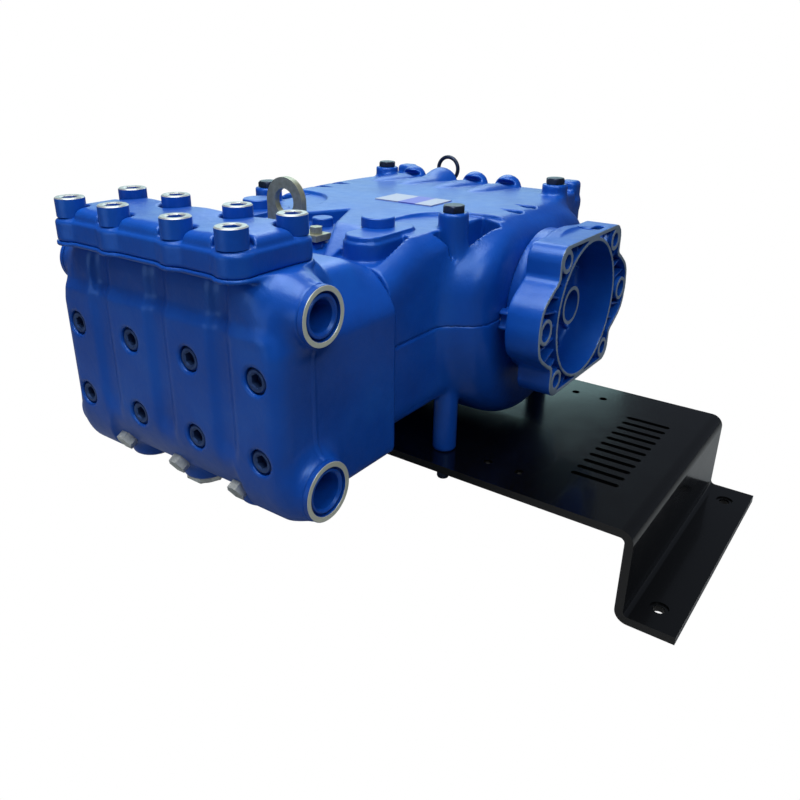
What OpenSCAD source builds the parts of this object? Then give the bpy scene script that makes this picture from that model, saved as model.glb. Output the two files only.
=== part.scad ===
// Plunger mud pump on a bent sheet stand.
// The fluid end faces -Y, the drive side faces +X, the ground is Z = 0.
// The origin is the centre of the stand's foot bolts, on the ground.

/* [Machine] */
// Distance between neighbouring columns of front screws
pitch = 90; // [88:0.5:92]
// Height of the crankshaft axis above the ground
crank_z = 294; // [290:0.5:300]
// Distance of the fluid end's rear face in front of the origin
joint_y = 268; // [264:0.5:272]
// Gap left round screws and sleeves
clearance = 0.3; // [0.2:0.05:0.5]

/* [Stand] */
// Length of the stand's top over the outer faces of its legs
stand_l = 828; // [800:1:860]
// Depth of the stand from front to back
stand_w = 360; // [340:1:380]
// Height of the stand's top above the ground
stand_h = 118; // [105:1:119]
// Thickness of the sheet
sheet = 10; // [8:0.5:11]
// Inner radius of the bends
bend_r = 6; // [4:0.5:8]
// Reach of a foot flange past its leg
flange_l = 59; // [56:1:70]
// Diameter of the foot bolt holes
foot_hole_d = 13.5; // [11:0.5:15]
// Distance of a foot hole's centre from the flange's outer edge
foot_hole_edge = 30; // [26:1:32]
// Distance between the foot holes of one flange
foot_hole_gap = 284; // [260:1:300]
// Diameter of the sink round a foot hole
foot_sink_d = 22; // [18:0.5:24]
// Depth of the sink round a foot hole
foot_sink_h = 2; // [1:0.5:3]
// Number of relief slots in the top on each side
slot_count = 11; // [7:2:13]
// Length of a relief slot
slot_l = 60; // [40:1:66]
// Width of a relief slot
slot_w = 8; // [6:0.5:10]
// Distance between neighbouring relief slots
slot_gap = 19; // [17:0.5:21]
// Distance of the slots' middle from the stand's middle
slot_x = 334; // [328:1:338]
// Diameter of the spare holes
spare_d = 11; // [8:0.5:13]
// Distance of the first spare hole from the stand's middle
spare_x = 211; // [208:1:216]
// Distance between the two spare holes of a row
spare_gap = 43; // [38:1:46]

/* [Tie bolts] */
// Distance between the tie bolts from side to side
tie_gap_x = 292; // [288:1:294]
// Distance between the tie bolts from front to back
tie_gap_y = 270; // [266:1:274]
// Diameter of the tie bolts
tie_d = 16; // [12:1:18]
// Play of the tie bolts in their holes
tie_play = 1; // [0.5:0.5:2]
// Diameter of the posts round the tie bolts
post_d = 35; // [32:0.5:38]
// Diameter of the feet under the posts
foot_d = 30; // [27:0.5:32]
// Height of the top of the posts above the ground
post_top_z = 419.5; // [416:0.5:424]
// Width across flats of the tie bolt heads and nuts
tie_flats = 24; // [22:0.5:27]
// Height of a tie bolt head
tie_head_h = 10; // [8:0.5:12]
// Height of a tie bolt nut
tie_nut_h = 13; // [11:0.5:15]
// Washer thickness under the nuts
washer_h = 3; // [2:0.5:4]
// Width of the washers past the nuts' flats
washer_in = 3; // [2:0.5:5]

/* [Fluid end] */
// Depth of the fluid end block
fluid_l = 180; // [174:1:186]
// Width of the fluid end block
fluid_w = 324; // [320:1:328]
// Width of the fluid end block at its top
fluid_top_w = 276; // [272:1:280]
// Height of the block's bottom above the ground
fluid_z0 = 171; // [166:1:174]
// Height at which the block's flanks start to lean in
flank_z = 338; // [334:1:342]
// Height at which the block's flanks end
shoulder_z = 383; // [380:1:386]
// Height of the block's top above the ground
fluid_z1 = 407; // [405:1:409]
// Height of the sloped front foot of the block
foot_slope_h = 37; // [32:1:42]
// Depth of the sloped front foot of the block
foot_slope_l = 22; // [18:1:26]
// Depth of the valleys between the screw columns
valley_h = 9; // [6:0.5:12]
// Radius of the valleys
valley_r = 24; // [20:1:28]
// Height at which the screw columns end
column_z = 350; // [346:1:356]
// Set back of the block above the screw columns
column_step = 9; // [6:0.5:12]
// Rounding of the block's upright and bottom corners
block_r = 12; // [8:1:18]
// Margin of the block's top round the valve cover
ledge = 1.5; // [1:0.5:3]
// Height of the block's top ledge under the valve cover
ledge_h = 24; // [22:1:30]
// Drop of the block's top behind the valve cover
saddle_h = 12; // [10:1:15]
// Length of the slope from the block's top down to the joint
saddle_l = 26; // [22:1:30]
// Drop of the block's rear top edge below the shoulder
saddle_drop = 4; // [2:1:6]
// Reach of the port bosses into the block
boss_in = 30; // [24:1:36]

/* [Front screws] */
// Height of the lower front screws
front_screw_z = 230; // [226:1:234]
// Distance between the lower and upper front screws
front_screw_rise = 83; // [80:1:86]
// Diameter of a front screw's head
front_head_d = 24; // [22:0.5:25]
// Height of a front screw's head
front_head_h = 16; // [12:0.5:18]
// Diameter of the counterbore round a front screw
front_sink_d = 27; // [26.5:0.5:30]
// Depth of the counterbore round a front screw
front_sink_h = 18; // [18:0.5:24]
// Shank diameter of a front screw
front_shank_d = 16; // [12:1:18]
// Length of a front screw's shank
front_shank_l = 60; // [40:1:70]
// Width across flats of a front screw's socket
front_socket = 14; // [10:0.5:16]

/* [Valve cover] */
// Distance of the cover's inner screws from its middle
cover_inner_x = 45.5; // [43:0.5:48]
// Distance of the cover's outer screws from its middle
cover_outer_x = 117; // [113:0.5:119]
// Distance of the cover's front screws behind the block's face
cover_front_in = 3; // [1:0.5:6]
// Distance between the cover's front and rear screws
cover_gap_y = 75; // [72:0.5:78]
// Rounding of the cover's lobes round its screws
cover_lobe_r = 17; // [16.5:0.5:20]
// Set back of the cover's edge between its lobes
cover_waist = 5; // [3:0.5:7]
// Set back of the cover's crown from its edge
crown_in = 3; // [2:0.5:5]
// Thickness of the cover's flat plate
cover_plate_h = 20; // [16:0.5:22]
// Rise of the cover's crown over its plate
cover_crown_h = 14; // [10:0.5:16]
// Height of the screw seats over the cover's plate
cover_seat_h = 4; // [2:0.5:6]
// Head diameter of the cover screws
cover_head_d = 30; // [28:0.5:32]
// Head height of the cover screws
cover_head_h = 20; // [16:0.5:22]
// Shank diameter of the cover screws
cover_shank_d = 20; // [16:1:22]
// Depth of the cover screws in the block
cover_screw_depth = 18; // [14:1:19]
// Width across flats of the cover screws' sockets
cover_socket = 17; // [14:0.5:18]

/* [Ports] */
// Distance of the port axes behind the block's face
port_in = 46; // [44:0.5:48]
// Height of the upper, discharge ports
discharge_z = 371; // [369:0.5:373]
// Outer diameter of the discharge port rings
discharge_ring_d = 59; // [56:0.5:62]
// Outer diameter of the discharge port sleeves
discharge_sleeve_d = 41.4; // [39:0.2:44]
// Bore of the discharge ports
discharge_bore_d = 31; // [28:0.5:34]
// Height of the lower, suction ports
suction_z = 193; // [191:0.5:195]
// Outer diameter of the suction port rings
suction_ring_d = 64; // [62:0.5:66]
// Outer diameter of the suction port sleeves
suction_sleeve_d = 46; // [44:0.2:48]
// Bore of the suction ports
suction_bore_d = 38; // [35:0.5:40]
// Stand of the port faces off the block's sides
port_proud = 18; // [16:0.5:22]
// Thickness of a port's bare ring
ring_h = 6; // [4:0.5:8]
// Bore of the gallery between the two discharge ports
discharge_gallery_d = 26; // [20:0.5:27]
// Bore of the gallery between the two suction ports
suction_gallery_d = 32; // [26:0.5:34]
// Length of a port sleeve
sleeve_l = 40; // [30:1:50]
// Depth of a sleeve's end inside its ring
sleeve_sink = 2; // [1:0.5:4]

/* [Bottom fittings] */
// Diameter of the lobes under the block
lobe_d = 52; // [46:1:56]
// Height of the lobes under the block
lobe_h = 22; // [18:0.5:26]
// Distance of the lobes behind the block's face
lobe_in = 42; // [38:1:46]
// Diameter of the bottom plug
plug_d = 34; // [28:1:38]
// Height of the bottom plug
plug_h = 8; // [6:0.5:10]
// Width across flats of the foot bolts of the block
valve_bolt_flats = 19; // [17:0.5:21]
// Height of a foot bolt's head
valve_bolt_h = 10; // [8:0.5:12]
// Length of a foot bolt's shank
foot_shank_l = 10; // [6:1:12]
// Place of the foot bolts up the slope, as a share of its height
foot_bolt_rise = 0.32; // [0.3:0.01:0.5]

/* [Crankcase] */
// Width of the crankcase at its front
case_front_w = 310; // [306:1:314]
// Width of the crankcase at its belly
case_belly_w = 396; // [390:1:400]
// Width of the crankcase at its rear
case_rear_w = 322; // [318:1:326]
// Distance of the crankcase's rear face behind the origin
case_rear_y = 205; // [200:1:210]
// Radius of the crankcase's round belly
belly_r = 160; // [156:1:164]
// Height of the front part's bottom above the ground
case_front_z = 190; // [185:1:195]
// Length of the flat flanks of the belly
belly_flat = 200; // [190:1:210]
// Front to back length of the slopes beside the belly
belly_slope = 66; // [60:1:72]
// Height of the belly's upright flank above the parting line
flank_h = 33; // [28:1:38]
// Set back of the deck's shoulder from the belly
shoulder_in = 18; // [14:1:20]
// Drop of the deck's shoulder
shoulder_h = 6; // [4:0.5:8]
// Set back of the flat deck from the belly
deck_in = 24; // [22:1:28]
// Height of the top deck above the ground
deck_z = 405; // [403:0.5:407]
// Drop of the deck's front ramp at the joint
ramp_h = 25; // [22:1:25]
// Length of the deck's front ramp behind the joint
ramp_l = 68; // [60:1:74]
// Depth of the pockets round the front noses
pocket_h = 26; // [25.5:0.5:30]
// Distance of the outer noses from the middle
nose_x = 96; // [94:1:98]
// Width of the outer noses
nose_w = 50; // [46:1:54]
// Rounding of the noses' front corners
nose_r = 22; // [16:1:22]
// Distance of the noses' fronts behind the joint
nose_in = 11; // [8:1:14]
// Width of the pockets outside the outer noses
nose_gap = 10; // [8:1:14]
// Shift of the caps, the middle nose and the lifting ring to the left
deck_shift = 14; // [10:1:16]
// Width of the middle nose
mid_nose_w = 84; // [78:1:90]
// Drop of the middle nose below the deck
mid_nose_drop = 17; // [14:0.5:18]
// Distance of the middle recess's tip behind the joint
recess_l = 143; // [136:1:150]
// Width of the middle recess at the joint
recess_w = 152; // [146:1:156]
// Step between the recess's sides and the middle pocket in it
pocket_step = 3; // [2.5:0.5:4]
// Diameter of the deck caps
cap_d = 34; // [30:1:36]
// Height of the outer deck caps
cap_h = 14; // [10:0.5:16]
// Height of the middle deck cap
mid_cap_h = 9; // [7:0.5:12]
// Distance between neighbouring caps from side to side
cap_gap = 95; // [93:1:97]
// Distance of the outer caps behind the joint
cap_in = 76; // [72:1:80]
// Distance of the middle cap behind the joint
mid_cap_in = 91; // [86:1:94]
// Height of the rear ridges over the deck
ridge_h = 13; // [8:0.5:14]
// Width of a rear ridge
ridge_w = 36; // [32:1:38]
// Length of a rear ridge
ridge_l = 50; // [44:1:56]
// Distance between neighbouring rear ridges
ridge_gap = 55; // [52:1:56]
// Length of the ledge behind the rear ridges
ledge_rear_l = 27; // [25:1:30]
// Drop of the ledge behind the rear ridges
ledge_rear_h = 12; // [10:1:14]
// Distance of the rear corner lugs from the middle
lug_x = 140; // [138:1:142]
// Width of a rear corner lug
lug_w = 24; // [20:1:26]
// Bevel of the case's rear upright corners
case_corner = 8; // [6:1:12]
// Distance of the side pockets' outer edge from the belly
side_pocket_in = 19; // [16:1:21]
// Distance of the side pockets' inner edge from the tie bolts' axes
side_pocket_w = 5; // [3:1:7]
// Turn of the deck side slots
gill_angle = 28; // [20:1:34]
// Width of a deck side slot
gill_w = 8; // [6:0.5:10]
// Length of a deck side slot
gill_l = 34; // [30:1:38]
// Depth of a deck side slot
gill_h = 16; // [10:1:20]
// Distance between neighbouring deck side slots
gill_gap = 42; // [38:1:46]

/* [Bell housing] */
// Length of the round collar between the crankcase and the lobed part
collar_l = 23; // [20:1:26]
// Length of the lobed part of the bell housing
bell_l = 43; // [38:1:46]
// Radius of the round collar behind the lobed part
collar_r = 92; // [88:1:94]
// Distance between the corner holes along each side
bell_hole_gap = 147; // [144:1:150]
// Diameter of the corner holes
bell_hole_d = 17.5; // [14:0.5:19]
// Distance between the two side holes
bell_side_gap = 232; // [228:1:236]
// Diameter of the side holes
bell_side_d = 22; // [18:0.5:24]
// Rounding of the housing's corners round the corner holes
bell_boss_r = 19; // [17:0.5:20]
// Width of the rims round the holes in the motor face
bell_rim = 5; // [4:0.5:7]
// Wall outside the side holes
bell_side_wall = 20; // [18:0.5:22]
// Slope at the ends of the side lobes
bell_tip_slope = 6; // [4:0.5:8]
// Half height of the side lobes where they leave the housing
bell_lobe_root = 56; // [52:1:58]
// Half height of the side lobes at their ends
bell_lobe_tip = 31; // [28:1:34]
// Radius of the motor cavity
cavity_r = 84; // [82:0.5:85]
// Wall thickness of the bell housing
bell_wall = 6; // [5:0.5:7]
// Depth of the pockets in the motor face
bell_pocket_h = 28; // [20:1:32]
// Thickness of the floor behind the motor cavity
bell_floor = 12; // [8:1:14]
// Thickness of the ribs in the motor face
bell_rib_w = 4; // [3:0.5:6]
// Angle of the ribs in the motor face beside each axis
bell_rib_angle = 28; // [24:1:32]
// Radius of the lugs round the housing's side bolts
bell_lug_r = 13; // [11:0.5:14]

/* [Shaft hub] */
// Outer diameter of the shaft hub
hub_d = 49; // [46:0.5:52]
// Bore of the shaft hub
hub_bore_d = 40; // [36:0.5:42]
// Depth of the shaft hub's bore
hub_depth = 36; // [30:1:38]
// Distance of the hub's end behind the motor face
hub_in = 21; // [18:0.5:24]
// Radius of the bolt circle on the cavity's floor
floor_bolt_r = 62; // [58:1:66]
// Number of bolts on the cavity's floor
floor_bolt_count = 6; // [4:1:8]
// Width across flats of the housing bolts
bell_bolt_flats = 17; // [15:0.5:19]
// Head height of the housing bolts
bell_bolt_h = 9; // [7:0.5:11]

/* [Covers] */
// Radius of the blind bearing cover on the left
blind_r = 84; // [80:1:88]
// Thickness of the blind bearing cover
blind_h = 12; // [10:0.5:14]
// Number of bolts of the blind bearing cover
blind_bolt_count = 8; // [6:1:10]
// Width of the rear cover
rear_cover_w = 250; // [240:1:256]
// Height of the rear cover
rear_cover_h = 120; // [110:1:126]
// Thickness of the rear cover
rear_cover_t = 10; // [8:0.5:12]
// Width across flats of the cover bolts
cover_bolt_flats = 16; // [13:0.5:17]
// Head height of the cover bolts
cover_bolt_h = 7; // [5:0.5:9]
// Inset of the cover bolts from the cover's edge
cover_bolt_in = 14; // [12:0.5:16]

/* [Lifting gear] */
// Outer diameter of the front lifting ring
ring_d = 54; // [50:1:58]
// Bore of the front lifting ring
ring_bore_d = 29; // [26:1:32]
// Thickness of the front lifting ring
ring_t = 8; // [6:0.5:9]
// Height of the lifting ring's centre above the ground
ring_z = 429; // [427:0.5:433]
// Distance of the lifting ring's front face behind the joint
lift_in = 24; // [22:0.5:26]
// Length of the lifting ring's foot
ring_foot_w = 94; // [88:1:98]
// Depth of the lifting ring's foot
ring_foot_l = 26; // [24:1:28]
// Thickness of the lifting ring's foot
ring_foot_h = 7; // [5:0.5:8]
// Distance of the lifting ring's bolts from its middle
ring_bolt_x = 36; // [35:0.5:38]
// Width across flats of the lifting ring's bolts
ring_bolt_flats = 13; // [11:0.5:14]
// Head height of the lifting ring's bolts
ring_bolt_h = 8; // [6:0.5:10]
// Distance of the rear eyebolt to the left of the middle
eye_x = 66; // [62:1:70]
// Distance of the rear eyebolt in front of the case's rear face
eye_in = 13; // [12:0.5:14]
// Inner diameter of the eyebolt's eye
eye_bore_d = 30; // [26:0.5:31]
// Wire diameter of the eyebolt's eye
eye_wire_d = 6; // [5:0.5:7]
// Collar diameter of the eyebolt
eye_collar_d = 22; // [18:1:24]
// Collar height of the eyebolt
eye_collar_h = 6; // [4:0.5:8]

/* [Name plate] */
// Length of the bare name plate
plate_l = 90; // [80:1:96]
// Width of the bare name plate
plate_w = 50; // [44:1:54]
// Thickness of the bare name plate
plate_t = 1.2; // [1:0.1:2]
// Distance of the name plate in front of the origin
plate_y = 28.5; // [24:0.5:32]
// Distance of the name plate to the right of the middle
plate_x = 17; // [12:1:22]

/* [Hidden] */
$fn = 64;
eps = 1;
enamel = "royalblue";
black = "black";
bare = "silver";
dark = "midnightblue";
zinc = "darkkhaki";

front_y = -(joint_y + fluid_l);
port_y = front_y + port_in;
port_face_x = fluid_w / 2 + port_proud;
lobe_y = front_y + lobe_in;
cover_y = front_y + cover_front_in + cover_gap_y / 2;
cover_seat_z = fluid_z1 + cover_plate_h + cover_seat_h;
flange_x = stand_l / 2 + flange_l;
foot_hole_x = flange_x - foot_hole_edge;
tie_hole_d = tie_d + tie_play;
pocket_z = deck_z - pocket_h;
column_xs = [-1.5 * pitch, -0.5 * pitch, 0.5 * pitch, 1.5 * pitch];
plug_xs = [-pitch, 0, pitch];
cover_xs = [-cover_outer_x, -cover_inner_x, cover_inner_x, cover_outer_x];
sides = [-1, 1];
belly_x = case_belly_w / 2;
case_tip_x = belly_x;
bell_back_x = case_tip_x + collar_l;
bell_face_x = bell_back_x + bell_l;
cavity_x0 = case_tip_x + bell_floor;
hub_x1 = bell_face_x - hub_in;
nose_y = -joint_y + nose_in;
ring_y = -joint_y + lift_in;
cap_y = -joint_y + cap_in;
mid_cap_y = -joint_y + mid_cap_in;
mid_nose_z = deck_z - mid_nose_drop;
ridge_y1 = case_rear_y - ledge_rear_l;
ledge_rear_z = deck_z - ledge_rear_h;
slope_angle = atan2(foot_slope_h, foot_slope_l);
saddle_y = cover_y + cover_gap_y / 2 + cover_lobe_r + crown_in;

// Plan outlines and profiles shared by the sub-parts

module rounded_plan(w, d, r) {
    square([w - 2 * r, d], center = true);
    square([w, d - 2 * r], center = true);
    for (sx = sides, sy = sides)
        translate([sx * (w / 2 - r), sy * (d / 2 - r)]) circle(r);
}

module at_ties() {
    for (sx = sides, sy = sides)
        translate([sx * tie_gap_x / 2, sy * tie_gap_y / 2, 0]) children();
}

// A prism along X of an outline drawn in Y and Z
module along_x(x0, x1) {
    translate([x0, 0, 0]) rotate([90, 0, 90]) linear_extrude(x1 - x0) children();
}

// A prism along Y of an outline drawn in X and Z
module along_y(y0, y1) {
    translate([0, y1, 0]) rotate([90, 0, 0]) linear_extrude(y1 - y0) children();
}

module tube_x(r, x0, x1) {
    translate([x0, 0, 0]) rotate([0, 90, 0]) cylinder(h = x1 - x0, r = r);
}

module hexagon(flats) {
    circle(d = flats / cos(30), $fn = 6);
}

// Hexagon bolt with its seat at Z = 0 and its head above
module hex_bolt(flats, head_h, shank_d, shank_l) {
    linear_extrude(head_h) hexagon(flats);
    translate([0, 0, -shank_l]) cylinder(h = shank_l + eps, d = shank_d);
}

// Socket head screw with its seat at Z = 0 and its head above
module socket_screw(head_d, head_h, socket, shank_d, shank_l) {
    difference() {
        union() {
            cylinder(h = head_h, d = head_d);
            translate([0, 0, -shank_l]) cylinder(h = shank_l + eps, d = shank_d);
        }
        translate([0, 0, head_h / 2]) linear_extrude(head_h) hexagon(socket);
    }
}

// Stand

module bend(x, z, turn) {
    translate([x, z]) rotate(turn) intersection() {
        difference() {
            circle(bend_r + sheet);
            circle(bend_r);
        }
        square(bend_r + sheet);
    }
}

module stand_half_profile() {
    leg_x = stand_l / 2 - sheet;
    top_z = stand_h - sheet;
    square_x = leg_x - bend_r;
    translate([0, top_z]) square([square_x, sheet]);
    bend(square_x, top_z - bend_r, 0);
    translate([leg_x, sheet + bend_r])
        square([sheet, top_z - sheet - 2 * bend_r]);
    bend(leg_x + sheet + bend_r, sheet + bend_r, 180);
    translate([leg_x + sheet + bend_r, 0])
        square([flange_l - bend_r, sheet]);
}

module stand() {
    color(black) difference() {
        along_y(-stand_w / 2, stand_w / 2) {
            stand_half_profile();
            mirror([1, 0]) stand_half_profile();
        }
        for (sx = sides, sy = sides)
            translate([sx * foot_hole_x, sy * foot_hole_gap / 2, -eps]) {
                cylinder(h = sheet + 2 * eps, d = foot_hole_d);
                translate([0, 0, sheet + eps - foot_sink_h])
                    cylinder(h = foot_sink_h + eps, d = foot_sink_d);
            }
        at_ties() translate([0, 0, stand_h - sheet - eps])
            cylinder(h = sheet + 2 * eps, d = tie_hole_d);
        for (sx = sides, sy = sides, i = [0, 1])
            translate([sx * (spare_x + i * spare_gap), sy * tie_gap_y / 2,
                       stand_h - sheet - eps])
                cylinder(h = sheet + 2 * eps, d = spare_d);
        for (sx = sides, i = [0:slot_count - 1])
            translate([sx * slot_x, (i - (slot_count - 1) / 2) * slot_gap,
                       stand_h - sheet - eps])
                linear_extrude(sheet + 2 * eps) {
                    square([slot_l - slot_w, slot_w], center = true);
                    for (end = sides)
                        translate([end * (slot_l - slot_w) / 2, 0]) circle(d = slot_w);
                }
    }
}

// Crankcase

module case_plan() {
    polygon([
        for (s = sides) each (s > 0 ? case_side_points(1) : reverse(case_side_points(-1)))
    ]);
}

function reverse(list) = [for (i = [len(list) - 1:-1:0]) list[i]];

function case_side_points(s) = [
    [s * case_front_w / 2, -joint_y],
    [s * case_front_w / 2, -belly_flat / 2 - belly_slope],
    [s * case_belly_w / 2, -belly_flat / 2],
    [s * case_belly_w / 2, belly_flat / 2],
    [s * case_rear_w / 2, belly_flat / 2 + belly_slope],
    [s * case_rear_w / 2, case_rear_y - case_corner],
    [s * (case_rear_w / 2 - case_corner), case_rear_y]
];

module crankcase_lower() {
    color(enamel) difference() {
        union() {
            intersection() {
                translate([0, 0, stand_h + eps])
                    linear_extrude(crank_z - stand_h - eps) case_plan();
                along_x(-belly_x - eps, belly_x + eps) {
                    translate([0, crank_z]) circle(belly_r, $fn = 96);
                    translate([-joint_y, case_front_z])
                        square([joint_y, crank_z - case_front_z]);
                    translate([0, case_front_z + post_d])
                        square([case_rear_y, crank_z - case_front_z - post_d]);
                }
            }
            at_ties() {
                translate([0, 0, stand_h]) cylinder(h = crank_z - stand_h, d = foot_d);
                translate([0, 0, case_front_z]) cylinder(h = crank_z - case_front_z, d = post_d);
            }
        }
        at_ties() translate([0, 0, stand_h - eps])
            cylinder(h = crank_z - stand_h + 2 * eps, d = tie_hole_d);
    }
}

// The upper outline across the machine, from the parting line to the deck
module case_top_profile() {
    polygon([
        [-belly_x, crank_z], [belly_x, crank_z],
        [belly_x, crank_z + flank_h],
        [belly_x - shoulder_in, deck_z - shoulder_h], [belly_x - deck_in, deck_z],
        [-belly_x + deck_in, deck_z], [-belly_x + shoulder_in, deck_z - shoulder_h],
        [-belly_x, crank_z + flank_h]
    ]);
}

// A nose's outline from its rounded front back to the ramp's top
module nose_plan(w) {
    y1 = -joint_y + ramp_l + nose_r;
    translate([0, (nose_y + y1) / 2]) rounded_plan(w, y1 - nose_y, nose_r);
}

// The ramp at the front, the recess in its middle and the pockets round the noses
module front_cuts() {
    pocket_w = nose_w + nose_gap;
    recess_slope = recess_w / 2 / recess_l;
    pocket_half = recess_w / 2 - pocket_step;
    along_x(-belly_x - eps, belly_x + eps) polygon([
        [-joint_y - eps, deck_z - ramp_h], [-joint_y, deck_z - ramp_h],
        [-joint_y + ramp_l, deck_z], [-joint_y + ramp_l, deck_z + eps],
        [-joint_y - eps, deck_z + eps]
    ]);
    translate([-deck_shift, -joint_y, mid_nose_z]) linear_extrude(mid_nose_drop + eps)
        polygon([
            [-recess_w / 2 - eps * recess_slope, -eps],
            [recess_w / 2 + eps * recess_slope, -eps], [0, recess_l]
        ]);
    translate([0, 0, pocket_z]) linear_extrude(pocket_h + eps) {
        translate([-deck_shift, -joint_y]) polygon([
            [-pocket_half - eps * recess_slope, -eps], [pocket_half + eps * recess_slope, -eps],
            [pocket_half - recess_slope * ramp_l / 2, ramp_l / 2],
            [-pocket_half + recess_slope * ramp_l / 2, ramp_l / 2]
        ]);
        for (s = sides) translate([s * (nose_x + nose_gap / 2), -joint_y + ramp_l / 2])
            square([pocket_w, ramp_l + 2 * eps], center = true);
    }
}

module front_noses() {
    for (s = sides) translate([s * nose_x, 0, pocket_z - eps])
        linear_extrude(pocket_h + eps) nose_plan(nose_w);
    translate([-deck_shift, 0, pocket_z - eps]) linear_extrude(mid_nose_z - pocket_z + eps)
        nose_plan(mid_nose_w);
}

module side_pockets() {
    inner_x = tie_gap_x / 2 - side_pocket_w;
    outer_x = belly_x - side_pocket_in;
    for (s = sides) {
        translate([0, 0, deck_z - 2 * gill_h]) linear_extrude(2 * gill_h + eps)
            polygon([
                [s * inner_x, -tie_gap_y / 2 + post_d / 2 + gill_w / 2],
                [s * outer_x, -tie_gap_y / 2 + post_d],
                [s * outer_x, -tie_gap_y / 4],
                [s * inner_x, -tie_gap_y / 5]
            ]);
        for (i = [0, 1, 2])
            translate([s * (inner_x + outer_x) / 2, -gill_gap / 2 + i * gill_gap, deck_z - gill_h])
                rotate(-s * gill_angle) linear_extrude(gill_h + eps)
                    square([gill_l, gill_w], center = true);
    }
}

module crankcase_upper() {
    color(enamel) difference() {
        union() {
            difference() {
                intersection() {
                    translate([0, 0, crank_z]) linear_extrude(deck_z - crank_z) case_plan();
                    along_y(-joint_y, case_rear_y) case_top_profile();
                }
                front_cuts();
                translate([-belly_x - eps, ridge_y1, ledge_rear_z])
                    cube([2 * belly_x + 2 * eps, ledge_rear_l + eps, ledge_rear_h + eps]);
            }
            front_noses();
            at_ties() translate([0, 0, crank_z])
                cylinder(h = post_top_z - crank_z, d = post_d);
            for (i = [-2:2]) translate([i * ridge_gap, ridge_y1 - ridge_l / 2, deck_z - eps])
                linear_extrude(ridge_h + eps) rounded_plan(ridge_w, ridge_l, ridge_w / 4);
            for (s = sides)
                translate([s * lug_x, case_rear_y - ledge_rear_l / 2, ledge_rear_z - eps])
                    linear_extrude(post_top_z - ledge_rear_z)
                        rounded_plan(lug_w, ledge_rear_l, lug_w / 4);
        }
        side_pockets();
        at_ties() translate([0, 0, crank_z - eps])
            cylinder(h = post_top_z - crank_z + 2 * eps, d = tie_hole_d);
    }
}

module deck_caps() {
    color(enamel) {
        for (s = sides) translate([s * cap_gap - deck_shift, cap_y, deck_z])
            cylinder(h = cap_h, d = cap_d);
        translate([-deck_shift, mid_cap_y, mid_nose_z]) cylinder(h = mid_cap_h, d = cap_d);
    }
}

module tie_bolts() {
    nut_z = stand_h - sheet - washer_h - tie_nut_h;
    color(dark) at_ties() translate([0, 0, post_top_z])
        hex_bolt(tie_flats, tie_head_h, tie_d, post_top_z - nut_z + tie_nut_h / 2);
}

module tie_nuts() {
    color(dark) at_ties() translate([0, 0, stand_h - sheet - washer_h - tie_nut_h])
        difference() {
            union() {
                linear_extrude(tie_nut_h) hexagon(tie_flats);
                translate([0, 0, tie_nut_h]) cylinder(h = washer_h, d = tie_flats + 2 * washer_in);
            }
            translate([0, 0, -eps])
                cylinder(h = tie_nut_h + washer_h + 2 * eps, d = tie_d + clearance / 3);
        }
}

// Fluid end

module block_plan(y0) {
    d = -joint_y - y0;
    translate([0, y0 + d / 2]) {
        rounded_plan(fluid_w, d, block_r);
        translate([0, d / 4]) square([fluid_w, d / 2], center = true);
    }
}

module block_front_profile() {
    half = fluid_w / 2;
    top = fluid_top_w / 2;
    difference() {
        polygon([
            [-half, fluid_z0], [half, fluid_z0], [half, flank_z], [top, shoulder_z],
            [top, fluid_z1], [-top, fluid_z1], [-top, shoulder_z], [-half, flank_z]
        ]);
        for (s = sides) translate([s * (half - block_r), fluid_z0 + block_r]) difference() {
            translate([s > 0 ? 0 : -block_r - eps, -block_r - eps]) square(block_r + eps);
            circle(block_r);
        }
    }
}

module block_side_profile() {
    polygon([
        [-joint_y, fluid_z0], [-joint_y, shoulder_z - saddle_drop],
        [-joint_y - saddle_l, fluid_z1 - saddle_h],
        [saddle_y, fluid_z1 - saddle_h], [saddle_y, fluid_z1],
        [front_y + column_step, fluid_z1],
        [front_y + column_step, column_z + column_step],
        [front_y, column_z],
        [front_y, fluid_z0 + foot_slope_h],
        [front_y + foot_slope_l, fluid_z0]
    ]);
}

module at_ports(z) {
    for (s = sides) translate([0, port_y, z]) mirror([s > 0 ? 0 : 1, 0, 0]) children();
}

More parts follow.
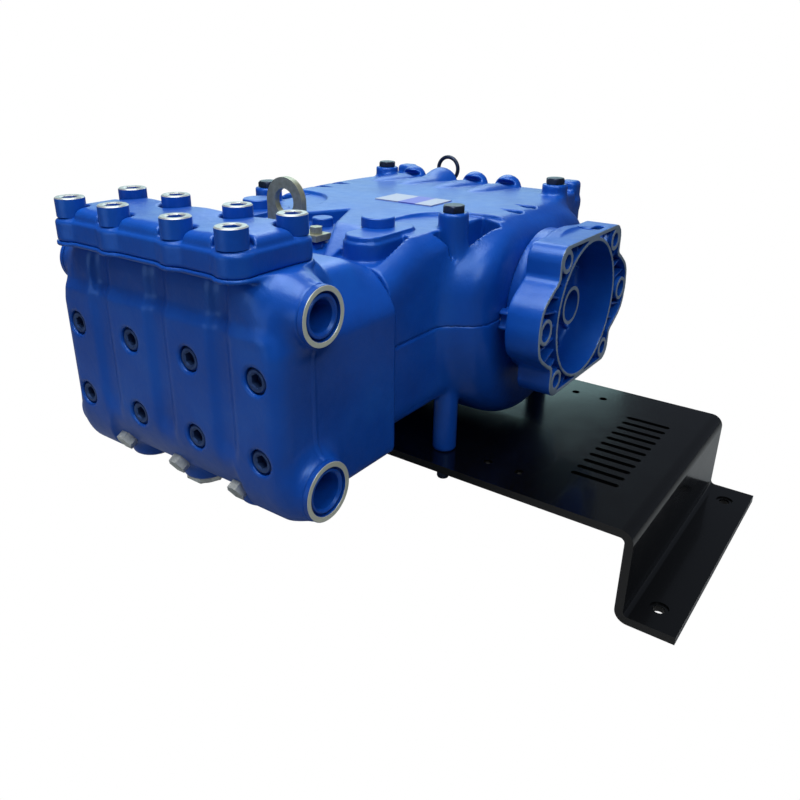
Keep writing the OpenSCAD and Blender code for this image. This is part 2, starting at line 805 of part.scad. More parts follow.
module fluid_end_block() {
    boss_x = port_face_x - ring_h;
    color(enamel) difference() {
        union() {
            intersection() {
                translate([0, 0, fluid_z0]) linear_extrude(fluid_z1 - fluid_z0)
                    block_plan(front_y);
                along_x(-fluid_w / 2, fluid_w / 2) block_side_profile();
                along_y(front_y, -joint_y) block_front_profile();
            }
            translate([0, 0, fluid_z1 - ledge_h]) linear_extrude(ledge_h) cover_plan(-ledge);
            at_ports(discharge_z) tube_x(discharge_ring_d / 2, boss_x - 2 * boss_in, boss_x);
            at_ports(suction_z) tube_x(suction_ring_d / 2, boss_x - 2 * boss_in, boss_x);
            for (x = plug_xs) translate([x, lobe_y, fluid_z0 - lobe_h])
                cylinder(h = lobe_h + eps, d = lobe_d);
        }
        for (x = plug_xs) translate([x, front_y - valley_r + valley_h, fluid_z0 + foot_slope_h])
            cylinder(h = column_z - fluid_z0 - foot_slope_h + 2 * column_step, r = valley_r);
        for (x = column_xs, z = [front_screw_z, front_screw_z + front_screw_rise])
            translate([x, front_y, z]) rotate([-90, 0, 0]) {
                translate([0, 0, -eps]) cylinder(h = front_sink_h + eps, d = front_sink_d);
                cylinder(h = front_sink_h + front_shank_l + eps,
                         d = front_shank_d + clearance);
            }
        for (x = cover_xs, s = sides)
            translate([x, cover_y + s * cover_gap_y / 2, fluid_z1 - cover_screw_depth - eps])
                cylinder(h = cover_screw_depth + 2 * eps, d = cover_shank_d + clearance);
        at_ports(discharge_z) {
            tube_x(discharge_gallery_d / 2, -eps, port_face_x);
            tube_x(discharge_sleeve_d / 2 + clearance,
                   port_face_x - sleeve_sink - sleeve_l, port_face_x);
        }
        at_ports(suction_z) {
            tube_x(suction_gallery_d / 2, -eps, port_face_x);
            tube_x(suction_sleeve_d / 2 + clearance,
                   port_face_x - sleeve_sink - sleeve_l, port_face_x);
        }
        at_foot_bolts() translate([0, 0, -foot_shank_l - eps])
            cylinder(h = foot_shank_l + valve_bolt_h, d = valve_bolt_flats / 2 + clearance);
        translate([0, lobe_y, fluid_z0 - lobe_h - eps])
            cylinder(h = plug_h + eps, d = plug_d / 2 + clearance);
    }
}

// Seats of the bolts on the block's sloped foot, with +Z out of the slope
module at_foot_bolts() {
    for (x = plug_xs)
        translate([x, front_y + (1 - foot_bolt_rise) * foot_slope_l,
                   fluid_z0 + foot_bolt_rise * foot_slope_h])
            rotate([180 - slope_angle, 0, 0]) children();
}

module block_foot_bolts() {
    color(bare) at_foot_bolts()
        hex_bolt(valve_bolt_flats, valve_bolt_h, valve_bolt_flats / 2, foot_shank_l);
}

module bottom_plug() {
    color(bare) translate([0, lobe_y, fluid_z0 - lobe_h]) {
        translate([0, 0, -plug_h]) cylinder(h = plug_h, d = plug_d);
        translate([0, 0, -eps]) cylinder(h = plug_h, d = plug_d / 2);
    }
}

module front_screws(z) {
    color(dark) for (x = column_xs)
        translate([x, front_y + front_sink_h, z]) rotate([90, 0, 0])
            socket_screw(front_head_d, front_head_h, front_socket, front_shank_d, front_shank_l);
}

module front_screws_lower() {
    front_screws(front_screw_z);
}

module front_screws_upper() {
    front_screws(front_screw_z + front_screw_rise);
}

module cover_plan(inset) {
    w = 2 * cover_outer_x + 2 * cover_lobe_r - 2 * inset;
    d = cover_gap_y + 2 * cover_lobe_r - 2 * cover_waist - 2 * inset;
    translate([0, cover_y]) {
        rounded_plan(w, d, cover_lobe_r - inset);
        for (x = cover_xs, s = sides)
            translate([x, s * cover_gap_y / 2]) circle(cover_lobe_r - inset);
    }
}

module valve_cover() {
    color(enamel) difference() {
        union() {
            translate([0, 0, fluid_z1]) linear_extrude(cover_plate_h + cover_seat_h)
                cover_plan(0);
            translate([0, 0, fluid_z1]) linear_extrude(cover_plate_h + cover_crown_h)
                cover_plan(crown_in);
        }
        for (x = cover_xs, s = sides) translate([x, cover_y + s * cover_gap_y / 2, 0]) {
            translate([0, 0, cover_seat_z]) cylinder(h = cover_crown_h, r = cover_lobe_r);
            translate([0, 0, fluid_z1 - eps])
                cylinder(h = cover_plate_h + cover_seat_h + 2 * eps,
                         d = cover_shank_d + clearance);
        }
    }
}

module cover_screws(s) {
    color(bare) for (x = cover_xs)
        translate([x, cover_y + s * cover_gap_y / 2, cover_seat_z])
            socket_screw(cover_head_d, cover_head_h, cover_socket, cover_shank_d,
                         cover_plate_h + cover_seat_h + cover_screw_depth);
}

module cover_screws_front() {
    cover_screws(-1);
}

module cover_screws_rear() {
    cover_screws(1);
}

module port_ring(ring, sleeve) {
    difference() {
        tube_x(ring / 2, port_face_x - ring_h, port_face_x);
        tube_x(sleeve / 2 + clearance, port_face_x - ring_h - eps, port_face_x + eps);
    }
}

module port_sleeve(sleeve, bore) {
    x1 = port_face_x - sleeve_sink;
    difference() {
        tube_x(sleeve / 2, x1 - sleeve_l, x1);
        tube_x(bore / 2, x1 - sleeve_l - eps, x1 + eps);
    }
}

module discharge_rings() {
    color(zinc) at_ports(discharge_z) port_ring(discharge_ring_d, discharge_sleeve_d);
}

module discharge_sleeves() {
    color(enamel) at_ports(discharge_z) port_sleeve(discharge_sleeve_d, discharge_bore_d);
}

module suction_rings() {
    color(zinc) at_ports(suction_z) port_ring(suction_ring_d, suction_sleeve_d);
}

module suction_sleeves() {
    color(enamel) at_ports(suction_z) port_sleeve(suction_sleeve_d, suction_bore_d);
}

// Bell housing, drawn in Y and Z about the crankshaft axis

module bell_outline(inset) {
    half = bell_hole_gap / 2 + bell_boss_r;
    tip = bell_side_gap / 2 + bell_side_wall;
    rounded_plan(2 * (half - inset), 2 * (half - inset), bell_boss_r - inset);
    for (s = sides) polygon([
        [0, -bell_lobe_root + inset], [s * (half - inset), -bell_lobe_root + inset],
        [s * (tip - bell_tip_slope - inset), -bell_lobe_tip + inset / 2],
        [s * (tip - inset), -bell_lobe_tip / 2], [s * (tip - inset), bell_lobe_tip / 2],
        [s * (tip - bell_tip_slope - inset), bell_lobe_tip - inset / 2],
        [s * (half - inset), bell_lobe_root - inset], [0, bell_lobe_root - inset]
    ]);
}

module bell_pockets() {
    corner = bell_hole_gap / 2;
    difference() {
        bell_outline(bell_wall);
        circle(cavity_r + bell_wall);
        for (sy = sides, sz = sides)
            translate([sy * corner, sz * corner]) circle(bell_hole_d / 2 + bell_rim);
        for (s = sides) translate([s * bell_side_gap / 2, 0])
            circle(bell_side_d / 2 + bell_rim);
        for (a = [0:90:270], s = sides)
            rotate(a + s * bell_rib_angle) translate([bell_side_gap / 2, 0])
                square([bell_side_gap / 2, bell_rib_w], center = true);
    }
}

module at_crank() {
    translate([0, 0, crank_z]) children();
}

module bell_housing() {
    corner = bell_hole_gap / 2;
    hole_x0 = bell_back_x + bell_wall;
    color(enamel) at_crank() difference() {
        union() {
            along_x(bell_back_x, bell_face_x) bell_outline(0);
            tube_x(collar_r, case_tip_x, bell_back_x + eps);
            for (s = sides) translate([0, s * (collar_r + bell_bolt_flats / 2), 0])
                tube_x(bell_lug_r, case_tip_x, case_tip_x + bell_floor);
        }
        tube_x(cavity_r, cavity_x0, bell_face_x + eps);
        tube_x(hub_d / 2 + clearance, case_tip_x - eps, cavity_x0 + eps);
        along_x(bell_face_x - bell_pocket_h, bell_face_x + eps) bell_pockets();
        for (sy = sides, sz = sides) translate([0, sy * corner, sz * corner])
            tube_x(bell_hole_d / 2, hole_x0, bell_face_x + eps);
        for (s = sides) translate([0, s * bell_side_gap / 2, 0])
            tube_x(bell_side_d / 2, bell_back_x - eps, bell_face_x + eps);
        at_floor_bolts()
            cylinder(h = 3 * bell_floor, d = bell_bolt_flats / 2 + clearance, center = true);
        at_side_bolts()
            cylinder(h = 3 * bell_floor, d = bell_bolt_flats / 2 + clearance, center = true);
    }
}

// Seats of the bolts on the cavity's floor, with +Z out of the housing
module at_floor_bolts() {
    for (i = [0:floor_bolt_count - 1])
        rotate([360 / floor_bolt_count * (i + 0.5), 0, 0])
            translate([cavity_x0, floor_bolt_r, 0]) rotate([0, 90, 0]) children();
}

module at_side_bolts() {
    for (s = sides)
        translate([case_tip_x + bell_floor, s * (collar_r + bell_bolt_flats / 2), 0])
            rotate([0, 90, 0]) children();
}

module bell_bolt() {
    hex_bolt(bell_bolt_flats, bell_bolt_h, bell_bolt_flats / 2, bell_floor);
}

module bell_floor_bolts() {
    color(bare) at_crank() at_floor_bolts() bell_bolt();
}

module bell_side_bolts() {
    color(bare) at_crank() at_side_bolts() bell_bolt();
}

module shaft_hub() {
    color(dark) at_crank() difference() {
        tube_x(hub_d / 2, case_tip_x, hub_x1);
        tube_x(hub_bore_d / 2, hub_x1 - hub_depth, hub_x1 + eps);
    }
}

// Covers on the sides that face away

module blind_bearing_cover() {
    color(enamel) at_crank() difference() {
        union() {
            tube_x(blind_r, -case_tip_x - blind_h, -case_tip_x);
            tube_x(hub_d / 2 + cover_bolt_in, -case_tip_x - 2 * blind_h, -case_tip_x);
        }
        at_blind_bolts() cylinder(h = 3 * blind_h, d = cover_bolt_flats / 2 + clearance, center = true);
    }
}

module at_blind_bolts() {
    for (i = [0:blind_bolt_count - 1])
        rotate([360 / blind_bolt_count * i, 0, 0])
            translate([-case_tip_x - blind_h, blind_r - cover_bolt_in, 0])
                rotate([0, -90, 0]) children();
}

module blind_cover_bolts() {
    color(bare) at_crank() at_blind_bolts()
        hex_bolt(cover_bolt_flats, cover_bolt_h, cover_bolt_flats / 2, blind_h);
}

module rear_cover() {
    color(enamel) difference() {
        along_y(case_rear_y, case_rear_y + rear_cover_t)
            translate([0, crank_z]) rounded_plan(rear_cover_w, rear_cover_h, cover_bolt_in);
        at_rear_bolts()
            cylinder(h = 3 * rear_cover_t, d = cover_bolt_flats / 2 + clearance, center = true);
    }
}

module at_rear_bolts() {
    for (i = [-1, -1 / 3, 1 / 3, 1], s = sides)
        translate([i * (rear_cover_w / 2 - cover_bolt_in), case_rear_y + rear_cover_t,
                   crank_z + s * (rear_cover_h / 2 - cover_bolt_in)])
            rotate([-90, 0, 0]) children();
}

module rear_cover_bolts() {
    color(bare) at_rear_bolts()
        hex_bolt(cover_bolt_flats, cover_bolt_h, cover_bolt_flats / 2, rear_cover_t);
}

// Lifting gear

module lifting_ring() {
    color(zinc) difference() {
        translate([-deck_shift, 0, 0]) {
            along_y(ring_y, ring_y + ring_t) {
                translate([0, ring_z]) circle(d = ring_d);
                translate([-ring_d / 2, mid_nose_z]) square([ring_d, ring_z - mid_nose_z]);
            }
            translate([-ring_foot_w / 2, ring_y, mid_nose_z])
                cube([ring_foot_w, ring_foot_l, ring_foot_h]);
        }
        translate([-deck_shift, ring_y + ring_t + eps, ring_z]) rotate([90, 0, 0])
            cylinder(h = ring_t + 2 * eps, d = ring_bore_d);
        at_ring_bolts()
            cylinder(h = 3 * ring_foot_h, d = ring_bolt_flats / 2 + clearance, center = true);
    }
}

module at_ring_bolts() {
    for (s = sides)
        translate([s * ring_bolt_x - deck_shift, ring_y + ring_foot_l / 2,
                   mid_nose_z + ring_foot_h]) children();
}

module lifting_ring_bolts() {
    color(zinc) at_ring_bolts()
        hex_bolt(ring_bolt_flats, ring_bolt_h, ring_bolt_flats / 2, ring_foot_h);
}

module rear_eyebolt() {
    color(dark) translate([-eye_x, case_rear_y - eye_in, ledge_rear_z]) {
        cylinder(h = eye_collar_h, d = eye_collar_d);
        translate([0, 0, eye_collar_h + eye_bore_d / 2 + eye_wire_d / 2]) rotate([90, 0, 0])
            rotate_extrude() translate([eye_bore_d / 2 + eye_wire_d / 2, 0])
                circle(d = eye_wire_d);
    }
}

module name_plate() {
    color(bare) translate([plate_x - plate_l / 2, -plate_y - plate_w / 2, deck_z])
        cube([plate_l, plate_w, plate_t]);
}

stand();
crankcase_lower();
crankcase_upper();
deck_caps();
tie_bolts();
tie_nuts();
fluid_end_block();
valve_cover();
cover_screws_front();
cover_screws_rear();
front_screws_lower();
front_screws_upper();
discharge_rings();
discharge_sleeves();
suction_rings();
suction_sleeves();
block_foot_bolts();
bottom_plug();
bell_housing();
bell_side_bolts();
bell_floor_bolts();
shaft_hub();
blind_bearing_cover();
blind_cover_bolts();
rear_cover();
rear_cover_bolts();
lifting_ring();
lifting_ring_bolts();
rear_eyebolt();
name_plate();
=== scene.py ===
import math

import bpy
import numpy as np
from mathutils import Matrix, Vector


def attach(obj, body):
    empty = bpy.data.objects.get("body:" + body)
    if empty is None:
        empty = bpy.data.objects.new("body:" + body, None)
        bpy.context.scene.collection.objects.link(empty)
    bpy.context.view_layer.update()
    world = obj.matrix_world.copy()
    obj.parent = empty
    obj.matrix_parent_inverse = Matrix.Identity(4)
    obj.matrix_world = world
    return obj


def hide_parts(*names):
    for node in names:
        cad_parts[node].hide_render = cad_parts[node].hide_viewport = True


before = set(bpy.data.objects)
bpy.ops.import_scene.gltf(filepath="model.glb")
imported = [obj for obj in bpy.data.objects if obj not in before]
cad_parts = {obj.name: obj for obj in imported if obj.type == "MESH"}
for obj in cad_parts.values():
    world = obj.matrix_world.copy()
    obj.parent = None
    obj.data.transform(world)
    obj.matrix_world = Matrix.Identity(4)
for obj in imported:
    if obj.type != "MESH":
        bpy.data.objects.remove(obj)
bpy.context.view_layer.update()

MM = 0.001

# Sizes in millimetres: x towards the motor, y to the rear, z up from the ground. Most forms are
# alike on both sides, so an x stands for its mirror image too.

# Fluid end
PITCH = 90
FRONT_Y, JOINT_Y = -448, -268
BLOCK_HALF_X, BLOCK_FLOOR_Z, BLOCK_TOP_Z = 162, 171, 407
SCREW_XS, SCREW_ZS = (45, 135), (230, 313)
COVER_XS, COVER_YS = (45.5, 117), (-445, -370)
COVER_SEAT_Z, CROWN_Z = 431, 439
LOBE_Y, LOBE_Z, PLUG_Z = -402, 156, 149
PORT_X, PORT_Y, RING_THICK = 174, -402, 6
DISCHARGE = {"z": 371, "ring": 28.5, "ring_hole": 23, "sleeve": 20.7, "bore": 15.5}
SUCTION = {"z": 193, "ring": 31.5, "ring_hole": 25.4, "sleeve": 23, "bore": 19}

# Crankcase
CRANK_Z = 294
DECK_Z = 405
DECK_SHIFT = -14
RAMP_Y, RAMP_DROP = -200, 25
POCKET_Z, RECESS_Z, MID_NOSE_Z = 379, 384, 391
NOSE_X, NOSE_FRONT_Y, NOSE_HALF_Y = 96, -257, 50
SIDE_CAPS, MID_CAP = ((-109, -192), (81, -192)), (-15, -177)
HOOD_XS, PLAIN_HOOD_X = (-118, -66, -4, 53), -66
LEDGE_Y, LEDGE_Z = 178, 393
CASE_REAR_Y = 205
TIE_X, TIE_Y = 146, 135
POST_R, POST_TOP_Z, STAND_TOP_Z, TIE_LENGTH = 17.5, 419.5, 118, 345

# Motor housing
CASE_TIP_X, BELL_BACK_X, HUB_FACE_X, BELL_FACE_X = 198, 221, 243, 264
CAVITY_R, CAVITY_X = 84, 210
BELL_CORNER, BELL_SIDE = 73.5, 116

# Fillets and edges that come back often
MACHINED_EDGE, CAST_EDGE = 1.5, 3


# Fields: each is a distance in millimetres, below zero inside the body

def smooth_min(a, b, k):
    """Union of two bodies with a fillet about k wide."""
    h = np.clip(0.5 + 0.5 * (b - a) / k, 0, 1)
    return b * (1 - h) + a * h - k * h * (1 - h)


def smooth_max(a, b, k):
    """Overlap of two bodies with an edge rounded over about k."""
    return -smooth_min(-a, -b, k)


def ramp(t, start, end):
    """Rises softly from 0 at start to 1 at end."""
    u = np.clip((t - start) / (end - start), 0, 1)
    return u * u * (3 - 2 * u)


def slab(z, low, high):
    """Distance to the space between two parallel planes."""
    return np.maximum(low - z, z - high)


def rounded_plan(x, y, half_x, half_y, r):
    """Distance to a rectangle about the origin with corners of radius r."""
    qx, qy = np.abs(x) - half_x + r, np.abs(y) - half_y + r
    return np.hypot(np.maximum(qx, 0), np.maximum(qy, 0)) + np.minimum(np.maximum(qx, qy), 0) - r


def half_plane(x, y, x0, y0, x1, y1):
    """Distance to the left side of the line from point 0 to point 1, below zero on the left."""
    dx, dy = x1 - x0, y1 - y0
    return (dy * (x - x0) - dx * (y - y0)) / math.hypot(dx, dy)


def polygon_plan(x, y, points, k):
    """Distance to a convex outline whose points run anticlockwise, its corners rounded over k."""
    sides = [half_plane(x, y, *a, *b) for a, b in zip(points, points[1:] + points[:1])]
    distance = sides[0]
    for side in sides[1:]:
        distance = smooth_max(distance, side, k)
    return distance


def ellipsoid(x, y, z, radii):
    """Roughly the distance to an ellipsoid about the origin, exact straight above it."""
    rx, ry, rz = radii
    return rz * (np.sqrt((x / rx) ** 2 + (y / ry) ** 2 + (z / rz) ** 2) - 1)


def cover_plan(x, y):
    """Outline of the valve cover: a rounded rectangle with a lobe at each screw."""
    lobe_r, half_y, waist = 17, 49.5, 6
    plan = rounded_plan(x, y - sum(COVER_YS) / 2, COVER_XS[1] + lobe_r, half_y, lobe_r)
    for cx in COVER_XS:
        for cy in COVER_YS:
            plan = smooth_min(plan, np.hypot(np.abs(x) - cx, y - cy) - lobe_r, waist)
    return plan


def cover_field(x, y, z):
    """Plate with a raised crown that sinks in round hollows at the eight screws. The crown
    swells a little over each plunger, with the square of a cosine along x."""
    plate_thick, crown_inset, crown_round, swell, well_r = 21, 3, 11, 1.8, 18
    plan = cover_plan(x, y)
    plate = smooth_max(plan, slab(z, BLOCK_TOP_Z, BLOCK_TOP_Z + plate_thick), CAST_EDGE)
    crown_top = CROWN_Z + swell * np.cos(np.pi * x / PITCH) ** 2
    crown = smooth_max(plan + crown_inset, slab(z, BLOCK_TOP_Z + 4, crown_top), crown_round)
    body = smooth_min(plate, crown, CAST_EDGE)
    for cx in COVER_XS:
        for cy in COVER_YS:
            well = np.maximum(np.hypot(np.abs(x) - cx, y - cy) - well_r, COVER_SEAT_Z - z)
            body = smooth_max(body, -well, CAST_EDGE)
    return body


def plain_block(ax, y, z):
    """Fluid end before its details: sides that lean in at the shoulders, a front with shallow
    valleys between the screw columns, a sloped foot, and a top that falls to the joint."""
    lean, valley_depth, valley_half_x, front_step = 24, 5, 13, 6
    foot_z, foot_run, joint_drops = 208, 22, (12, 14)
    side = ax - BLOCK_HALF_X + lean * ramp(z, 334, 386)
    valley = sum(np.exp(-((ax - c) / valley_half_x) ** 4) for c in (0, PITCH))
    setback = valley * valley_depth * ramp(z, 204, 240) + front_step * ramp(z, 350, 366)
    front = FRONT_Y + setback - y
    foot = half_plane(y, z, FRONT_Y, foot_z, FRONT_Y + foot_run, BLOCK_FLOOR_Z)
    fall = joint_drops[0] * ramp(y, -354, -338) + joint_drops[1] * ramp(y, -308, JOINT_Y)
    body = smooth_max(smooth_max(side, front, 18), smooth_max(foot, BLOCK_FLOOR_Z - z, 14), 12)
    return smooth_max(body, z - BLOCK_TOP_Z + fall, 26)


def block_field(x, y, z):
    """Fluid end: the plain block with a dish over each screw column, the ledge under the cover,
    port bosses, a mould line and lobes below, then its machined faces, sinks and bores."""
    dish_r, dish_depth, dish_z, dish_squash = 26, 14, 379, 2.2
    ledge_proud, ledge_thick = 1.4, 4
    boss_flare, boss_root_x, boss_fillet = 7, 110, 20
    mould_proud, mould_half_y, mould_y, mould_from_x = 1.1, 1.2, PORT_Y + 4, 160
    lobe_r, lobe_top_z = 25, 240
    sink_r, sink_depth = 13.5, 18
    sleeve_play, bore_floor_x = 0.3, 137
    ax = np.abs(x)
    body = plain_block(ax, y, z)
    for cx in SCREW_XS:
        out = (y - FRONT_Y) * dish_squash + dish_depth
        dish = np.sqrt((ax - cx) ** 2 + out ** 2 + (z - dish_z) ** 2) - dish_r
        body = smooth_max(body, -dish, CAST_EDGE)
    ledge = slab(z, BLOCK_TOP_Z - ledge_thick, BLOCK_TOP_Z)
    body = smooth_min(body, smooth_max(cover_plan(x, y) - ledge_proud, ledge, 1), CAST_EDGE)
    for port in (DISCHARGE, SUCTION):
        flare = boss_flare * ramp(PORT_X - ax, 3, 26)
        reach = np.hypot(y - PORT_Y, z - port["z"]) - port["ring"] - flare
        boss = smooth_max(reach, np.maximum(ax - PORT_X, boss_root_x - ax), MACHINED_EDGE)
        body = smooth_min(body, boss, boss_fillet)
    mould_line = smooth_max(body - mould_proud, np.abs(y - mould_y) - mould_half_y, 1)
    body = np.minimum(body, np.maximum(mould_line, mould_from_x - ax))
    for cx in (0, PITCH):
        lobe = smooth_max(np.hypot(ax - cx, y - LOBE_Y) - lobe_r, slab(z, LOBE_Z, lobe_top_z), 7)
        body = smooth_min(body, lobe, 5)
    body = np.maximum(np.maximum(body, y - JOINT_Y), z - BLOCK_TOP_Z)
    for cx in SCREW_XS:
        for cz in SCREW_ZS:
            sink = np.maximum(np.hypot(ax - cx, z - cz) - sink_r, y - FRONT_Y - sink_depth)
            body = smooth_max(body, -sink, 2)
    for port in (DISCHARGE, SUCTION):
        bore = np.hypot(y - PORT_Y, z - port["z"]) - port["sleeve"] - sleeve_play
        body = np.maximum(body, -np.maximum(bore, bore_floor_x - ax))
    return body


def nose_plan(x, y, half_width):
    """Outline of a front nose: a tongue with a rounded front."""
    return rounded_plan(x, y - NOSE_FRONT_Y - NOSE_HALF_Y, half_width, NOSE_HALF_Y, 22)


def front_cuts(x, y, z):
    """Below zero where the deck's front is cut away round and between the three noses, and in
    the flat discs round the front posts."""
    recess_half_x, recess_tip_y, mid_gap_y = 76, -125, -228
    side_gap_x, side_gap_y, side_gap_half_x, side_gap_half_y = 101, -240, 30, 40
    disc_r, disc_depth = 78, 4
    ax, mx = np.abs(x), np.abs(x - DECK_SHIFT)
    wedge = half_plane(mx, y, recess_half_x, JOINT_Y, 0, recess_tip_y)
    recess = smooth_max(wedge, RECESS_Z - z, CAST_EDGE)
    side_plan = rounded_plan(ax - side_gap_x, y - side_gap_y, side_gap_half_x, side_gap_half_y, 6)
    side_gap = smooth_max(side_plan, POCKET_Z - z, 4)
    mid_gap = smooth_max(np.maximum(wedge, y - mid_gap_y), POCKET_Z - z, 4)
    disc = np.hypot(ax - TIE_X, y + TIE_Y) - disc_r
    disc = smooth_max(disc, DECK_Z - disc_depth - z, MACHINED_EDGE)
    return np.minimum(np.minimum(np.minimum(recess, side_gap), mid_gap), disc)


def front_noses(x, y, z):
    """Three tongues over the pockets, each a wall with a slightly smaller plate on it."""
    outer_half_x, middle_half_x, plate_inset, plate_depth, wall_drop = 25, 42, 2.6, 8, 6
    outer = nose_plan(np.abs(x) - NOSE_X, y, outer_half_x)
    middle = nose_plan(x - DECK_SHIFT, y, middle_half_x)
    bodies = []
    for plan, top in ((outer, DECK_Z), (middle, MID_NOSE_Z)):
        bodies.append(smooth_max(plan + plate_inset, slab(z, top - plate_depth, top), 1))
        bodies.append(smooth_max(plan, slab(z, POCKET_Z - 8, top - wall_drop), 1))
    return np.minimum.reduce(bodies)


def side_cuts(ax, y, z):
    """Pocket between each front post and its fender, and the teardrop slots behind it. A slot
    is a rounded rectangle, turned a little, whose width shrinks towards its inner end."""
    pocket_corners = [(138, -168), (160, -150), (176, -76), (141, -57)]
    pocket_depth, slot_depth, slot_centres = 46, 26, ((155, -13), (154, 27))
    turn_cos, turn_sin = 0.98, 0.2
    plan = polygon_plan(ax, y, pocket_corners, 0.01)
    cut = smooth_max(plan, DECK_Z - pocket_depth - z, 10)
    for cx, cy in slot_centres:
        along = turn_cos * (ax - cx) - turn_sin * (y - cy)
        across = turn_sin * (ax - cx) + turn_cos * (y - cy)
        taper = np.clip((along + 15) / 22, 0.12, 1)
        slot = rounded_plan(along, across / taper, 16, 9, 8)
        cut = np.minimum(cut, smooth_max(slot, DECK_Z - slot_depth - z, CAST_EDGE))
    return cut


def rear_hoods(x, y, z):
    """Four scoops at the rear edge: a dome with a lens-shaped mouth in front and a long low
    swell that runs forward from it. The one at the eyebolt is smooth and has no mouth."""
    dome_y, dome_z, dome_radii = 176, 403, (21, 22, 17)
    swell_y, swell_z, swell_radii = 125, 396, (25, 60, 15)
    mouth_y, mouth_z, mouth_radii = 158, 408.5, (18, 12, 5)
    swell_shift, swell_skew = 4, 0.15
    front_y, rear_y = 50, 195
    hoods = []
    for hood_x in HOOD_XS:
        u = x - hood_x
        dome = ellipsoid(u, y - dome_y, z - dome_z, dome_radii)
        bend = u + swell_shift - swell_skew * (y - swell_y)
        swell = ellipsoid(bend, y - swell_y, z - swell_z, swell_radii)
        mouth = ellipsoid(u, y - mouth_y, z - mouth_z, mouth_radii)
        if hood_x == PLAIN_HOOD_X:
            hoods.append(smooth_min(dome, swell, 22))
        else:
            hoods.append(smooth_max(smooth_min(dome, swell, 6), -mouth, MACHINED_EDGE))
    return np.maximum(np.minimum.reduce(hoods), slab(y, front_y, rear_y))


def bell_plan(a, b):
    """Outline of the motor housing: a rounded square with a lobe on each side."""
    square_half, square_r = 92.5, 19
    lobe_corners = [(0, -56), (92, -56), (130, -31), (136, -15), (136, 15), (130, 31), (92, 56),
                    (0, 56)]
    lobes = polygon_plan(np.abs(a), b, lobe_corners, 9)
    return smooth_min(rounded_plan(a, b, square_half, square_half, square_r), lobes, 7)


def bell_cuts(x, a, b, plan):
    """What is cut from the bell's bare face, its top and its floor: pockets with thin ribs that
    stand like spokes, bolt holes, two access slots and the seat of the hub. A spoke is where
    the sine of the angle times their number is near zero."""
    rim, wall, corner_boss, side_boss = 4.5, 3.8, 13.8, 15.6
    pocket_depth, spokes, rib_half, rib_drop = 28, 17, 1.3, 4
    corner_hole, side_hole, hub_r = 8.75, 11, 24.8
    wide_y, wide_x, wide_half, wide_r = 42, 250, 7, 6
    long_y, long_x, long_half, long_r = 25, 240, 8, 2.4
    r, turn = np.hypot(a, b), np.arctan2(b, a)
    corner = np.hypot(np.abs(a) - BELL_CORNER, np.abs(b) - BELL_CORNER)
    side = np.hypot(np.abs(a) - BELL_SIDE, b)
    pocket = smooth_max(plan + rim, CAVITY_R + wall - r, CAST_EDGE)
    pocket = smooth_max(pocket, corner_boss - corner, CAST_EDGE)
    pocket = smooth_max(pocket, side_boss - side, CAST_EDGE)
    rib = np.abs(np.sin(spokes * turn)) * r / spokes - rib_half
    rib = np.maximum(rib, x - BELL_FACE_X + rib_drop)
    pocket = np.maximum(np.maximum(pocket, BELL_FACE_X - pocket_depth - x), -rib)
    holes = np.minimum(np.maximum(corner - corner_hole, BELL_BACK_X + 6 - x), side - side_hole)
    wide_slot = np.hypot(np.maximum(np.abs(a - wide_y) - wide_half, 0), x - wide_x) - wide_r
    long_slot = np.hypot(np.maximum(np.abs(x - long_x) - long_half, 0), a - long_y) - long_r
    access = np.maximum(np.minimum(wide_slot, long_slot), CAVITY_R - b)
    hub_seat = np.maximum(r - hub_r, x - CAVITY_X - 6)
    return pocket, holes, access, hub_seat


def bell_field(x, y, z):
    """Motor housing: collar and lobed bell, hollow, with ribs like spokes on its floor."""
    collar_r, lug_y, lug_r = 92, 100.5, 13
    floor_spokes, floor_rib_half, floor_rib_top_x = 9, 1.5, 216
    a, b = y, z - CRANK_Z
    r, turn = np.hypot(a, b), np.arctan2(b, a)
    plan = bell_plan(a, b)
    body = smooth_max(plan, slab(x, BELL_BACK_X, BELL_FACE_X), 1.2)
    collar = np.maximum(r - collar_r, slab(x, CASE_TIP_X, BELL_BACK_X + 6))
    lug = np.maximum(np.hypot(np.abs(a) - lug_y, b) - lug_r, slab(x, CASE_TIP_X, CAVITY_X))
    body = smooth_min(smooth_min(body, collar, 14), lug, 4)
    body = smooth_max(body, -smooth_max(r - CAVITY_R, CAVITY_X - x, 8), 0.6)
    rib = np.abs(np.sin(floor_spokes * turn)) * r / floor_spokes - floor_rib_half
    rib = np.maximum(rib, slab(x, CASE_TIP_X + 2, floor_rib_top_x))
    body = smooth_min(body, np.maximum(rib, r - CAVITY_R), 1.5)
    for cut in bell_cuts(x, a, b, plan):
        body = smooth_max(body, -cut, 0.6)
    return np.maximum(body, CASE_TIP_X - x)


